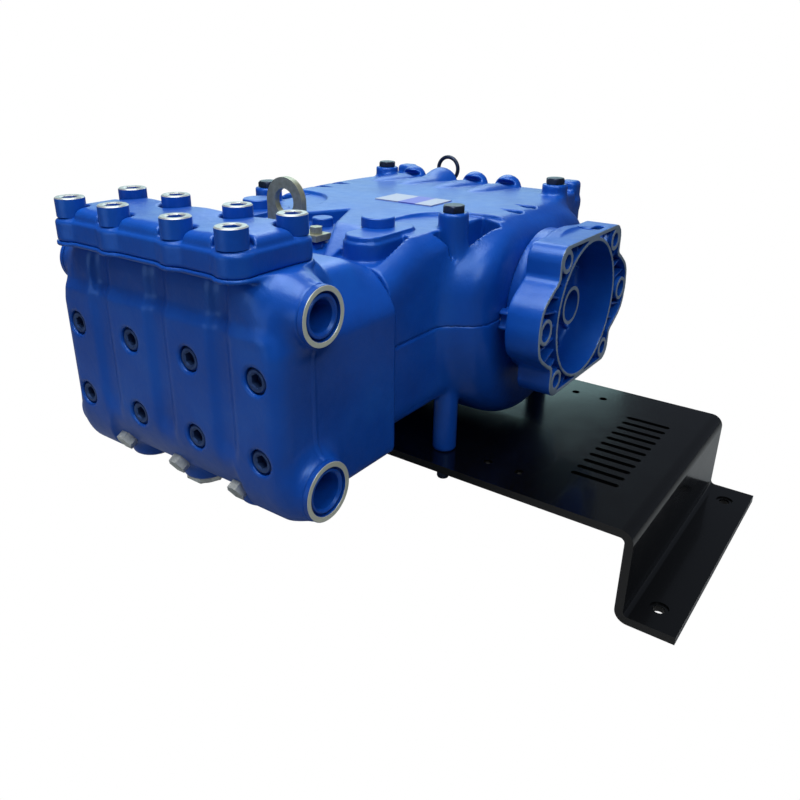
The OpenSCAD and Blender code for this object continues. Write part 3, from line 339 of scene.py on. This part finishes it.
def case_body(ax, y, z):
    """Crankcase before its details: a box that widens to the rear, with a ramp and bevelled
    corners in front, joined to a round belly about the crankshaft. The belly's fenders fall to
    the front with the square of the distance."""
    half_x, rear_gain, floor_z, rear_rise = 155, 6, 190, 34
    bevel_x, bevel_nx, bevel_nz, bevel_lift = 134, 0.66, 0.75, 30
    belly_r, belly_gain, fender_y, fender_curve = 160, 8, -60, 0.0033
    width = half_x + rear_gain * ramp(y, -150, 150)
    floor = floor_z + rear_rise * ramp(y, 40, 120)
    body = smooth_max(smooth_max(ax - width, floor - z, 30), y - CASE_REAR_Y, 16)
    deck = z - DECK_Z + RAMP_DROP * np.clip((RAMP_Y - y) / (RAMP_Y - JOINT_Y), 0, 1)
    rounding = 6 + 8 * ramp(-y, -140, -60) + 26 * ramp(-y, 60, 200)
    body = smooth_max(body, smooth_max(ax - width, deck, rounding), 2)
    bevel = bevel_nx * (ax - bevel_x) + bevel_nz * (z - DECK_Z) - bevel_lift * ramp(y, -170, -110)
    body = smooth_max(body, bevel, 6)
    radius = belly_r + belly_gain * ramp(z, 300, 380)
    belly = smooth_max(np.hypot(y, z - CRANK_Z) - radius, ax - CASE_TIP_X, 44)
    fender_top = z - DECK_Z + fender_curve * np.maximum(fender_y - y, 0) ** 2
    belly = smooth_max(belly, fender_top, 46)
    return smooth_max(smooth_min(body, belly, 26), z - DECK_Z, 4)


def case_field(x, y, z):
    """Crankcase: its body with the front cut away round three noses, hoods and a ledge at the
    rear, corner lugs, side pockets and four posts that pass through it."""
    lug_x, lug_y, lug_half, lug_r, lug_bottom_z, lug_top_z = 144, 191, 14, 9, 380, 418
    head_bottom_z, foot_inset, foot_top_z = 350, 2.5, 260
    ax = np.abs(x)
    case = smooth_max(case_body(ax, y, z), -front_cuts(x, y, z), MACHINED_EDGE)
    case = np.minimum(case, front_noses(x, y, z))
    case = np.minimum(case, rear_hoods(x, y, z))
    case = smooth_max(case, -np.maximum(LEDGE_Y - y, LEDGE_Z - z), 5)
    lug = rounded_plan(ax - lug_x, y - lug_y, lug_half, lug_half, lug_r)
    case = smooth_min(case, smooth_max(lug, slab(z, lug_bottom_z, lug_top_z), 7), 6)
    case = smooth_max(case, -side_cuts(ax, y, z), MACHINED_EDGE)
    post = np.hypot(ax - TIE_X, np.abs(y) - TIE_Y) - POST_R
    case = smooth_min(case, smooth_max(post, slab(z, head_bottom_z, POST_TOP_Z), 2), 5)
    foot = smooth_max(post + foot_inset, slab(z, STAND_TOP_Z, foot_top_z), 2)
    return np.maximum(smooth_min(case, foot, CAST_EDGE), JOINT_Y - y)


def upper_case_field(x, y, z):
    """The crankcase above the crankshaft."""
    return np.maximum(case_field(x, y, z), CRANK_Z - z)


def lower_case_field(x, y, z):
    """The crankcase below the crankshaft."""
    return np.maximum(case_field(x, y, z), z - CRANK_Z)


# Meshes

def skin(field, low, high, step):
    """Surface where a field is zero, worked out on a grid in millimetres.

    Each grid cell that the surface crosses gets one point, at the mean of the crossings on its
    edges, moved twice along the field's slope on to the surface. Each grid edge that is crossed
    gets one four-sided face between the four cells round it, facing the side above zero."""
    axes = [np.arange(lo - 2 * step, hi + 2.5 * step, step) for lo, hi in zip(low, high)]
    shape = tuple(len(a) for a in axes)
    grid = np.broadcast_to(field(*np.meshgrid(*axes, indexing="ij", sparse=True)), shape)
    inside = grid < 0
    cells, spots, faces = [], [], []
    for a in range(3):
        b, c = (a + 1) % 3, (a + 2) % 3
        crossed = np.take(inside, range(shape[a] - 1), a) != np.take(inside, range(1, shape[a]), a)
        start = np.stack(np.nonzero(crossed))
        end = start.copy()
        end[a] += 1
        v0, v1 = grid[tuple(start)], grid[tuple(end)]
        spot = np.stack([axes[k][start[k]] for k in range(3)], 1)
        spot[:, a] += v0 / (v0 - v1) * step
        ring = []
        for db, dc in ((0, 0), (1, 0), (1, 1), (0, 1)):
            cell = start.copy()
            cell[b] -= db
            cell[c] -= dc
            ring.append(np.ravel_multi_index(tuple(cell), shape))
        cells += ring
        spots += [spot] * 4
        quad = np.stack(ring, 1)
        faces.append(np.where((v0 < 0)[:, None], quad, quad[:, ::-1]))
    ids, owner = np.unique(np.concatenate(cells), return_inverse=True)
    spots, count = np.concatenate(spots), np.bincount(owner)
    points = np.stack([np.bincount(owner, weights=spots[:, k]) / count for k in range(3)], 1)
    for _ in range(2):
        points = towards_surface(field, points, step)
    return points, np.searchsorted(ids, np.concatenate(faces))


def towards_surface(field, points, step):
    """Moves points along a field's slope to where the field is zero, at most half a step."""
    probe, least_slope, tiny = 0.25, 0.5, 1e-9
    value = field(*points.T)
    slope = np.stack([
        (field(*(points + probe * e).T) - field(*(points - probe * e).T)) / (2 * probe)
        for e in np.eye(3)
    ], 1)
    size = np.maximum((slope ** 2).sum(1), least_slope ** 2)
    move = -slope * (value / size)[:, None]
    length = np.linalg.norm(move, axis=1, keepdims=True)
    return points + move * np.minimum(1, 0.5 * step / np.maximum(length, tiny))


def turned(rings, seats, count=48):
    """Solids of revolution, one on each seat, as points and triangles.

    A ring is (t, r) or (t, r, True). Its points lie at place + t n + r (cos a u + sin a v), where
    n is the seat's axis. With True, r is divided by cos(a mod 60 - 30), which makes the ring a
    hexagon 2 r across its flats. Rings run outwards from the axis, up and back to the axis."""
    angles = np.arange(count) * 2 * np.pi / count
    corner = np.cos(np.mod(angles, np.pi / 3) - np.pi / 6)
    points, faces = [], []
    for place, axis in seats:
        n = np.array(axis, float) / np.linalg.norm(axis)
        u = np.cross(n, (0, 1, 0) if abs(n[1]) < 0.9 else (1, 0, 0))
        u /= np.linalg.norm(u)
        v = np.cross(n, u)
        spokes = np.outer(np.cos(angles), u) + np.outer(np.sin(angles), v)
        for t, r, *flats in rings:
            reach = r / corner if flats else np.full(count, r)
            points.append(np.array(place) + t * n + reach[:, None] * spokes)
    points = np.concatenate(points)
    size = len(rings) * count
    for k in range(len(seats)):
        for i in range(len(rings) - 1):
            low = k * size + i * count + np.arange(count)
            low_next = k * size + i * count + (np.arange(count) + 1) % count
            faces.append(np.stack([low, low_next, low_next + count], 1))
            faces.append(np.stack([low, low_next + count, low + count], 1))
    points, merged = np.unique(np.round(points, 4), axis=0, return_inverse=True)
    faces = merged.reshape(-1)[np.concatenate(faces)]
    a, b, c = faces.T
    return points, faces[(a != b) & (b != c) & (c != a)]


def add_piece(name, points, faces, material, slot, node, sharp_angle=None):
    """A new piece in place of a CAD node, from points in millimetres and faces of three or four
    corners. It is smooth, but for edges that bend by more than sharp_angle degrees."""
    mesh = bpy.data.meshes.new(name)
    faces = np.asarray(faces)
    corners = faces.shape[1]
    mesh.vertices.add(len(points))
    mesh.vertices.foreach_set("co", (np.asarray(points) * MM).astype(np.float32).ravel())
    mesh.loops.add(faces.size)
    mesh.loops.foreach_set("vertex_index", faces.astype(np.int32).ravel())
    mesh.polygons.add(len(faces))
    mesh.polygons.foreach_set("loop_start", np.arange(0, faces.size, corners, dtype=np.int32))
    mesh.polygons.foreach_set("use_smooth", np.ones(len(faces), bool))
    mesh.update(calc_edges=True)
    mesh.validate()
    if sharp_angle:
        mesh.set_sharp_from_angle(angle=math.radians(sharp_angle))
    piece = bpy.data.objects.new(name, mesh)
    bpy.context.scene.collection.objects.link(piece)
    mesh.materials.append(material)
    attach(piece, "root")
    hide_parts(node)


def dress(node, material, bevel=0.0006):
    """Gives a CAD node its material and small worn edges; bevel is in metres."""
    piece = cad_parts[node]
    piece.data.materials.clear()
    piece.data.materials.append(material)
    edge = piece.modifiers.new("edge", "BEVEL")
    edge.width = bevel
    edge.segments = 3
    edge.limit_method = "ANGLE"
    edge.angle_limit = math.radians(35)
    edge.harden_normals = True


# Materials

def linear(hex_colour):
    """sRGB hex to linear red, green, blue and alpha."""
    channels = [int(hex_colour[i:i + 2], 16) / 255 for i in (1, 3, 5)]
    return [c / 12.92 if c <= 0.04045 else ((c + 0.055) / 1.055) ** 2.4 for c in channels] + [1]


def new_material(name):
    """A material and its shader node."""
    material = bpy.data.materials.new(name)
    material.use_nodes = True
    return material, material.node_tree.nodes["Principled BSDF"]


def add_node(owner, kind, **settings):
    """Adds a node to a material or a world and sets its inputs or properties."""
    made = owner.node_tree.nodes.new(kind)
    for key, value in settings.items():
        if key in made.inputs:
            made.inputs[key].default_value = value
        else:
            setattr(made, key, value)
    return made


def feed(owner, node, output, target, socket):
    """Links a node's output to a socket of the target, each by its name or its number."""
    owner.node_tree.links.new(node.outputs[output], target.inputs[socket])


def object_noise(material, scale, detail, target, socket):
    """Feeds noise on the object's own coordinates; scale is in waves per metre."""
    noise = add_node(material, "ShaderNodeTexNoise", Scale=scale, Detail=detail)
    place = add_node(material, "ShaderNodeTexCoord")
    feed(material, place, "Object", noise, "Vector")
    feed(material, noise, "Fac", target, socket)


def object_axis(material, axis, target, socket):
    """Feeds one of the object's own coordinates, in metres."""
    place = add_node(material, "ShaderNodeTexCoord")
    split = add_node(material, "ShaderNodeSeparateXYZ")
    feed(material, place, "Object", split, "Vector")
    feed(material, split, axis, target, socket)


def colour_ramp(material, shader, stops):
    """A band of colours, each stop a place from 0 to 1 and a hex colour, for a shader."""
    node = add_node(material, "ShaderNodeValToRGB")
    band = node.color_ramp
    while len(band.elements) < len(stops):
        band.elements.new(0.5)
    for element, (place, colour) in zip(band.elements, stops):
        element.position = place
        element.color = linear(colour)
    feed(material, node, "Color", shader, "Base Color")
    return node


def vary_roughness(material, shader, scale, detail, glossy, dull):
    """Lets a shader's roughness wander from glossy to dull."""
    gloss = add_node(material, "ShaderNodeMapRange")
    gloss.inputs["To Min"].default_value = glossy
    gloss.inputs["To Max"].default_value = dull
    object_noise(material, scale, detail, gloss, "Value")
    feed(material, gloss, "Result", shader, "Roughness")


def add_bump(material, target, scale, detail, strength, distance):
    """Small relief for the target's normal; distance is in metres."""
    bump = add_node(material, "ShaderNodeBump", Strength=strength, Distance=distance)
    object_noise(material, scale, detail, bump, "Height")
    feed(material, bump, "Normal", target, "Normal")
    return bump


def blue_enamel(name="blue_enamel"):
    """Gloss blue machine enamel sprayed over sand cast iron: deep blue in the shade, sky blue
    where the film catches the light, with the grain of the casting under it."""
    material, shader = new_material(name)
    shader.inputs["Specular IOR Level"].default_value = 0.75
    shader.inputs["Specular Tint"].default_value = linear("#8fc4ff")
    shader.inputs["Coat Weight"].default_value = 0.2
    shader.inputs["Coat Roughness"].default_value = 0.24
    tones = colour_ramp(material, shader, [(0.3, "#08409a"), (0.55, "#0a49a8"), (0.8, "#1354b2")])
    object_noise(material, 14, 4, tones, "Fac")
    vary_roughness(material, shader, 60, 3, 0.3, 0.46)
    grain = add_bump(material, shader, 700, 3, 0.24, 0.0006)
    add_bump(material, grain, 90, 2, 0.35, 0.0014)
    return material


def black_powder_coat():
    """Gloss black powder coat on sheet steel, with the faint orange peel of the film."""
    material, shader = new_material("black_powder_coat")
    shader.inputs["Base Color"].default_value = linear("#050505")
    shader.inputs["Coat Weight"].default_value = 0.3
    shader.inputs["Coat Roughness"].default_value = 0.08
    vary_roughness(material, shader, 30, 4, 0.12, 0.24)
    add_bump(material, shader, 350, 2, 0.12, 0.0005)
    return material


def worn_metal(name, light, shade, glossy, dull):
    """Bare or plated steel: two tones of metal in fine patches, rougher where it is dull, with
    scratches too fine to tell apart."""
    material, shader = new_material(name)
    shader.inputs["Metallic"].default_value = 0.55
    tones = colour_ramp(material, shader, [(0.35, shade), (0.65, light)])
    object_noise(material, 160, 4, tones, "Fac")
    vary_roughness(material, shader, 420, 3, glossy, dull)
    add_bump(material, shader, 1500, 2, 0.15, 0.0003)
    return material


def bared(name, metal, axis, edge):
    """Blue enamel with bright metal where a cutter took it off: where the object lies further
    out than edge, in millimetres, along an axis."""
    material = blue_enamel(name)
    enamel = material.node_tree.nodes["Principled BSDF"]
    bright = add_node(material, "ShaderNodeBsdfPrincipled", Metallic=0.4, Roughness=0.34)
    bright.inputs["Base Color"].default_value = linear(metal)
    reach = add_node(material, "ShaderNodeMath", operation="ABSOLUTE")
    object_axis(material, axis, reach, 0)
    beyond = add_node(material, "ShaderNodeMath", operation="GREATER_THAN")
    beyond.inputs[1].default_value = edge * MM
    feed(material, reach, "Value", beyond, 0)
    mix = add_node(material, "ShaderNodeMixShader")
    feed(material, beyond, "Value", mix, "Fac")
    feed(material, enamel, "BSDF", mix, 1)
    feed(material, bright, "BSDF", mix, 2)
    feed(material, mix, "Shader", material.node_tree.nodes["Material Output"], "Surface")
    return material


def name_plate_metal():
    """Anodised aluminium, grey with a violet field across the middle and no print."""
    plate_from_x, plate_to_x = -0.028, 0.062
    material, shader = new_material("anodised_plate")
    shader.inputs["Metallic"].default_value = 0.3
    shader.inputs["Roughness"].default_value = 0.45
    fields = colour_ramp(material, shader, [(0.0, "#a3a7bb"), (0.42, "#5d5fb8"), (0.72, "#a3a7bb")])
    fields.color_ramp.interpolation = "CONSTANT"
    along = add_node(material, "ShaderNodeMapRange")
    along.inputs["From Min"].default_value = plate_from_x
    along.inputs["From Max"].default_value = plate_to_x
    object_axis(material, "X", along, "Value")
    feed(material, along, "Result", fields, "Fac")
    return material


ENAMEL = blue_enamel()
POWDER = black_powder_coat()
# Pale clean steel of bolts and plug
BARE = worn_metal("bare_steel", "#d3d5cf", "#b3b5b0", 0.3, 0.42)
# Dull yellowish plating of the lifting ring
ZINC = worn_metal("yellow_zinc", "#a8a893", "#93947f", 0.34, 0.46)
# Dark blue heads sunk in the block's front
BLUED = worn_metal("blued_screw", "#3a5585", "#2c4370", 0.3, 0.42)
# Nearly black tie bolts, nuts and eyebolt
DARK = worn_metal("black_oxide", "#26324a", "#1c2638", 0.3, 0.42)
PLATE = name_plate_metal()
# Cut faces in blue pieces: grey screw tops, cool grey bell and hub, pale yellowish port rings
SCREW = bared("enamelled_screw", "#a9aca9", "Z", COVER_SEAT_Z + 17.9)
BELL = bared("bared_bell_face", "#8e9fb2", "X", BELL_FACE_X - 0.8)
RING = bared("bared_port_face", "#d9dbc8", "X", PORT_X + RING_THICK - 0.4)
HUB = bared("bared_hub_face", "#8e9fb2", "X", HUB_FACE_X - 0.3)


# Pieces. A turned profile is a list of rings, each a height along the axis and a radius, or half
# of the width across flats where True follows.

HEAD_SHARP_ANGLE, BELL_SHARP_ANGLE = 30, 40


def castings():
    """The five large castings: a field, the box that it lies in, and how fine its mesh is."""
    for name, field, low, high, step, node in (
            ("fluid_end_casting", block_field,
             (-182, -462, 147), (182, -266, 409), 2.6, "fluid_end_block"),
            ("valve_cover_casting", cover_field,
             (-138, -466, 405), (138, -350, 443), 1.8, "valve_cover"),
            ("upper_case_casting", upper_case_field,
             (-202, -270, 292), (202, 207, 424), 2.5, "crankcase_upper"),
            ("lower_case_casting", lower_case_field,
             (-202, -270, 116), (202, 207, 296), 3.0, "crankcase_lower")):
        add_piece(name, *skin(field, low, high, step), ENAMEL, "blue_enamel", node)
    bell = skin(bell_field, (198, -137, 200), (264, 137, 388), 1.7)
    add_piece("bell_casting", *bell, BELL, "blue_enamel", "bell_housing", BELL_SHARP_ANGLE)


def ports():
    """Machined ring and enamelled sleeve in each of the four ports."""
    depth, lip_drop, lip_chamfer, smoothness = 37, 1.6, 0.8, 72
    face, lip = RING_THICK, RING_THICK - lip_drop
    for name, port in (("discharge", DISCHARGE), ("suction", SUCTION)):
        seats = [((side * PORT_X, PORT_Y, port["z"]), (side, 0, 0)) for side in (-1, 1)]
        outer, hole, sleeve, bore = (port[key] for key in ("ring", "ring_hole", "sleeve", "bore"))
        ring_profile = [(0, hole), (0, outer), (face - 0.8, outer), (face, outer - 0.8),
                        (face, hole + 0.6), (face - 0.6, hole), (0, hole)]
        sleeve_profile = [(-depth, bore), (-depth, sleeve), (lip - lip_chamfer, sleeve),
                          (lip, sleeve - lip_chamfer), (lip, bore + 2.2), (face - 4, bore),
                          (-depth, bore)]
        add_piece(name + "_port_rings", *turned(ring_profile, seats, smoothness), RING, "zinc",
                  name + "_rings", HEAD_SHARP_ANGLE)
        add_piece(name + "_port_sleeves", *turned(sleeve_profile, seats, smoothness), ENAMEL,
                  "blue_enamel", name + "_sleeves", HEAD_SHARP_ANGLE)


def mirrored(xs, y, z, axis):
    """Seats for turned pieces at every x and its mirror image."""
    return [((side * x, y, z), axis) for x in xs for side in (-1, 1)]


def socket_screws():
    """Eight sunk screws in the block's front and eight on the cover, with hexagon sockets."""
    sunk_head = [(-20, 0), (-20, 12), (-3.6, 12), (-2, 10.6), (-2, 8.4), (-2.8, 7.4),
                 (-3.4, 6.2, True), (-11, 6.2, True), (-12, 0)]
    for row, z in zip(("lower", "upper"), SCREW_ZS):
        seats = mirrored(SCREW_XS, FRONT_Y, z, (0, -1, 0))
        add_piece("front_screw_heads_" + row, *turned(sunk_head, seats), BLUED, "dark_steel",
                  "front_screws_" + row, HEAD_SHARP_ANGLE)
    tall_head = [(-30, 0), (-30, 9.5), (0, 9.5), (0, 14.8), (17.8, 14.8), (19, 13.6), (19, 9.6),
                 (18.4, 8.6), (18, 7.4, True), (9, 7.4, True), (8, 0)]
    for row, y in zip(("front", "rear"), COVER_YS):
        seats = mirrored(COVER_XS, y, COVER_SEAT_Z, (0, 0, 1))
        add_piece("cover_screw_heads_" + row, *turned(tall_head, seats), SCREW, "bare_steel",
                  "cover_screws_" + row, HEAD_SHARP_ANGLE)


def fasteners():
    """Screws, caps, tie bolts and the plug, with the shapes that the plain nodes leave out."""
    up = (0, 0, 1)
    socket_screws()
    side_cap = [(0, 0), (0, 19.2), (10, 19.2), (11.2, 18), (11.2, 0)]
    mid_cap = [(0, 0), (0, 13), (9, 13), (10.2, 11.8), (10.2, 0)]
    points, faces = turned(side_cap, [((*cap, DECK_Z), up) for cap in SIDE_CAPS])
    more_points, more_faces = turned(mid_cap, [((*MID_CAP, MID_NOSE_Z), up)])
    add_piece("nose_caps", np.concatenate([points, more_points]),
              np.concatenate([faces, more_faces + len(points)]), ENAMEL, "blue_enamel",
              "deck_caps", HEAD_SHARP_ANGLE)
    posts = [((sx * TIE_X, sy * TIE_Y, POST_TOP_Z), up) for sx in (-1, 1) for sy in (-1, 1)]
    bolt = [(-TIE_LENGTH, 0), (-TIE_LENGTH, 7), (2 - TIE_LENGTH, 8), (-0.2, 8), (-0.2, 11.4),
            (0.8, 11.4), (0.8, 12, True), (6.8, 12, True), (8.2, 11.6), (8.6, 9.5), (8.6, 0)]
    add_piece("tie_bolt_heads", *turned(bolt, posts), DARK, "dark_steel", "tie_bolts",
              HEAD_SHARP_ANGLE)
    plug = [(0, 0), (0, 17.5), (1.5, 19, True), (7, 19, True), (7, 21), (9, 21), (9, 0)]
    add_piece("bottom_plug_head", *turned(plug, [((0, LOBE_Y, PLUG_Z), up)]), BARE,
              "bare_steel", "bottom_plug", HEAD_SHARP_ANGLE)


def dress_nodes():
    """The nodes that stay as they are and only get a material and worn edges."""
    for node in ("bell_floor_bolts", "blind_bearing_cover", "rear_cover"):
        dress(node, ENAMEL)
    for node in ("block_foot_bolts", "bell_side_bolts", "blind_cover_bolts", "rear_cover_bolts"):
        dress(node, BARE, bevel=0.0005)
    for node in ("tie_nuts", "rear_eyebolt"):
        dress(node, DARK, bevel=0.0008)
    for node in ("lifting_ring", "lifting_ring_bolts"):
        dress(node, ZINC)
    dress("shaft_hub", HUB)
    dress("name_plate", PLATE, bevel=0.0002)
    dress("stand", POWDER, bevel=0.0008)


# Stage

def make_camera():
    """The photograph's own viewpoint, solved from the machine's measured points."""
    azimuth, pitch, roll = (math.radians(a) for a in (36.157, 23.488, 0.411))
    place = (0.5961, -0.8780, 0.5789)
    ahead = Vector((-math.sin(azimuth) * math.cos(pitch),
                    math.cos(azimuth) * math.cos(pitch), -math.sin(pitch)))
    level = Vector((math.cos(azimuth), math.sin(azimuth), 0))
    above = level.cross(ahead)
    right = level * math.cos(roll) + above * math.sin(roll)
    up = above * math.cos(roll) - level * math.sin(roll)
    camera = bpy.data.objects.new("camera", bpy.data.cameras.new("camera"))
    turn = Matrix((right, up, -ahead)).transposed().to_4x4()
    camera.matrix_world = Matrix.Translation(place) @ turn
    camera.data.lens = 33.94
    camera.data.sensor_width = 36
    camera.data.shift_x = 0.0167
    camera.data.shift_y = -0.0170
    camera.data.clip_start = 0.05
    bpy.context.scene.collection.objects.link(camera)
    bpy.context.scene.camera = camera


def make_floor():
    """White paper to the camera, and a softer grey in the light that it sends back."""
    half, sink = 4, 0.0005
    material = bpy.data.materials.new("paper_floor")
    material.use_nodes = True
    material.node_tree.nodes.clear()
    output = add_node(material, "ShaderNodeOutputMaterial")
    mix = add_node(material, "ShaderNodeMixShader")
    path = add_node(material, "ShaderNodeLightPath")
    paper = add_node(material, "ShaderNodeBsdfDiffuse", Color=linear("#8c8c8c"))
    glow = add_node(material, "ShaderNodeEmission", Color=(1, 1, 1, 1), Strength=1.0)
    feed(material, path, "Is Camera Ray", mix, "Fac")
    feed(material, paper, 0, mix, 1)
    feed(material, glow, 0, mix, 2)
    feed(material, mix, 0, output, "Surface")
    mesh = bpy.data.meshes.new("floor")
    mesh.from_pydata([(-half, -half, 0), (half, -half, 0), (half, half, 0), (-half, half, 0)],
                     [], [(0, 1, 2, 3)])
    mesh.materials.append(material)
    floor = bpy.data.objects.new("floor", mesh)
    floor.location.z = -sink
    bpy.context.scene.collection.objects.link(floor)


def make_world():
    """White to the camera, and a dim cool room for everything else."""
    world = bpy.data.worlds.new("studio")
    world.use_nodes = True
    world.node_tree.nodes.clear()
    bpy.context.scene.world = world
    output = add_node(world, "ShaderNodeOutputWorld")
    mix = add_node(world, "ShaderNodeMixShader")
    path = add_node(world, "ShaderNodeLightPath")
    room = add_node(world, "ShaderNodeBackground", Color=(0.7, 0.8, 1, 1), Strength=0.12)
    white = add_node(world, "ShaderNodeBackground", Color=(1, 1, 1, 1))
    feed(world, path, "Is Camera Ray", mix, "Fac")
    feed(world, room, 0, mix, 1)
    feed(world, white, 0, mix, 2)
    feed(world, mix, 0, output, "Surface")
    bpy.context.scene.view_settings.view_transform = "Standard"


def add_lamp(name, place, target, size, power, colour):
    """A rectangular panel of light aimed at a target, which the camera doesn't see."""
    data = bpy.data.lights.new(name, "AREA")
    data.shape = "RECTANGLE"
    data.size, data.size_y = size
    data.energy = power
    data.color = colour
    lamp = bpy.data.objects.new(name, data)
    lamp.location = place
    lamp.rotation_euler = (Vector(target) - Vector(place)).to_track_quat("-Z", "Y").to_euler()
    lamp.visible_camera = False
    bpy.context.scene.collection.objects.link(lamp)


def light():
    """A ceiling light, two panels behind for the sheen on the tops, a window on the right and a
    faint light in front."""
    middle = (0, -0.1, 0.42)
    add_lamp("ceiling", (0.0, -0.5, 1.9), middle, (1.3, 1.3), 32, (1, 1, 1))
    add_lamp("rear_panel", (-1.5, 1.35, 0.8), middle, (3.0, 0.6), 6.5, (0.6, 1.0, 1.0))
    add_lamp("rear_top", (-0.95, 1.2, 1.6), middle, (1.3, 0.9), 12, (0.75, 0.95, 1.0))
    add_lamp("window_right", (1.3, -0.9, 1.7), middle, (0.9, 0.9), 12, (0.85, 0.93, 1))
    add_lamp("front_fill", (-0.4, -2.0, 0.5), middle, (1.2, 0.8), 4, (0.6, 0.8, 1))


castings()
ports()
fasteners()
dress_nodes()
make_camera()
make_floor()
make_world()
light()
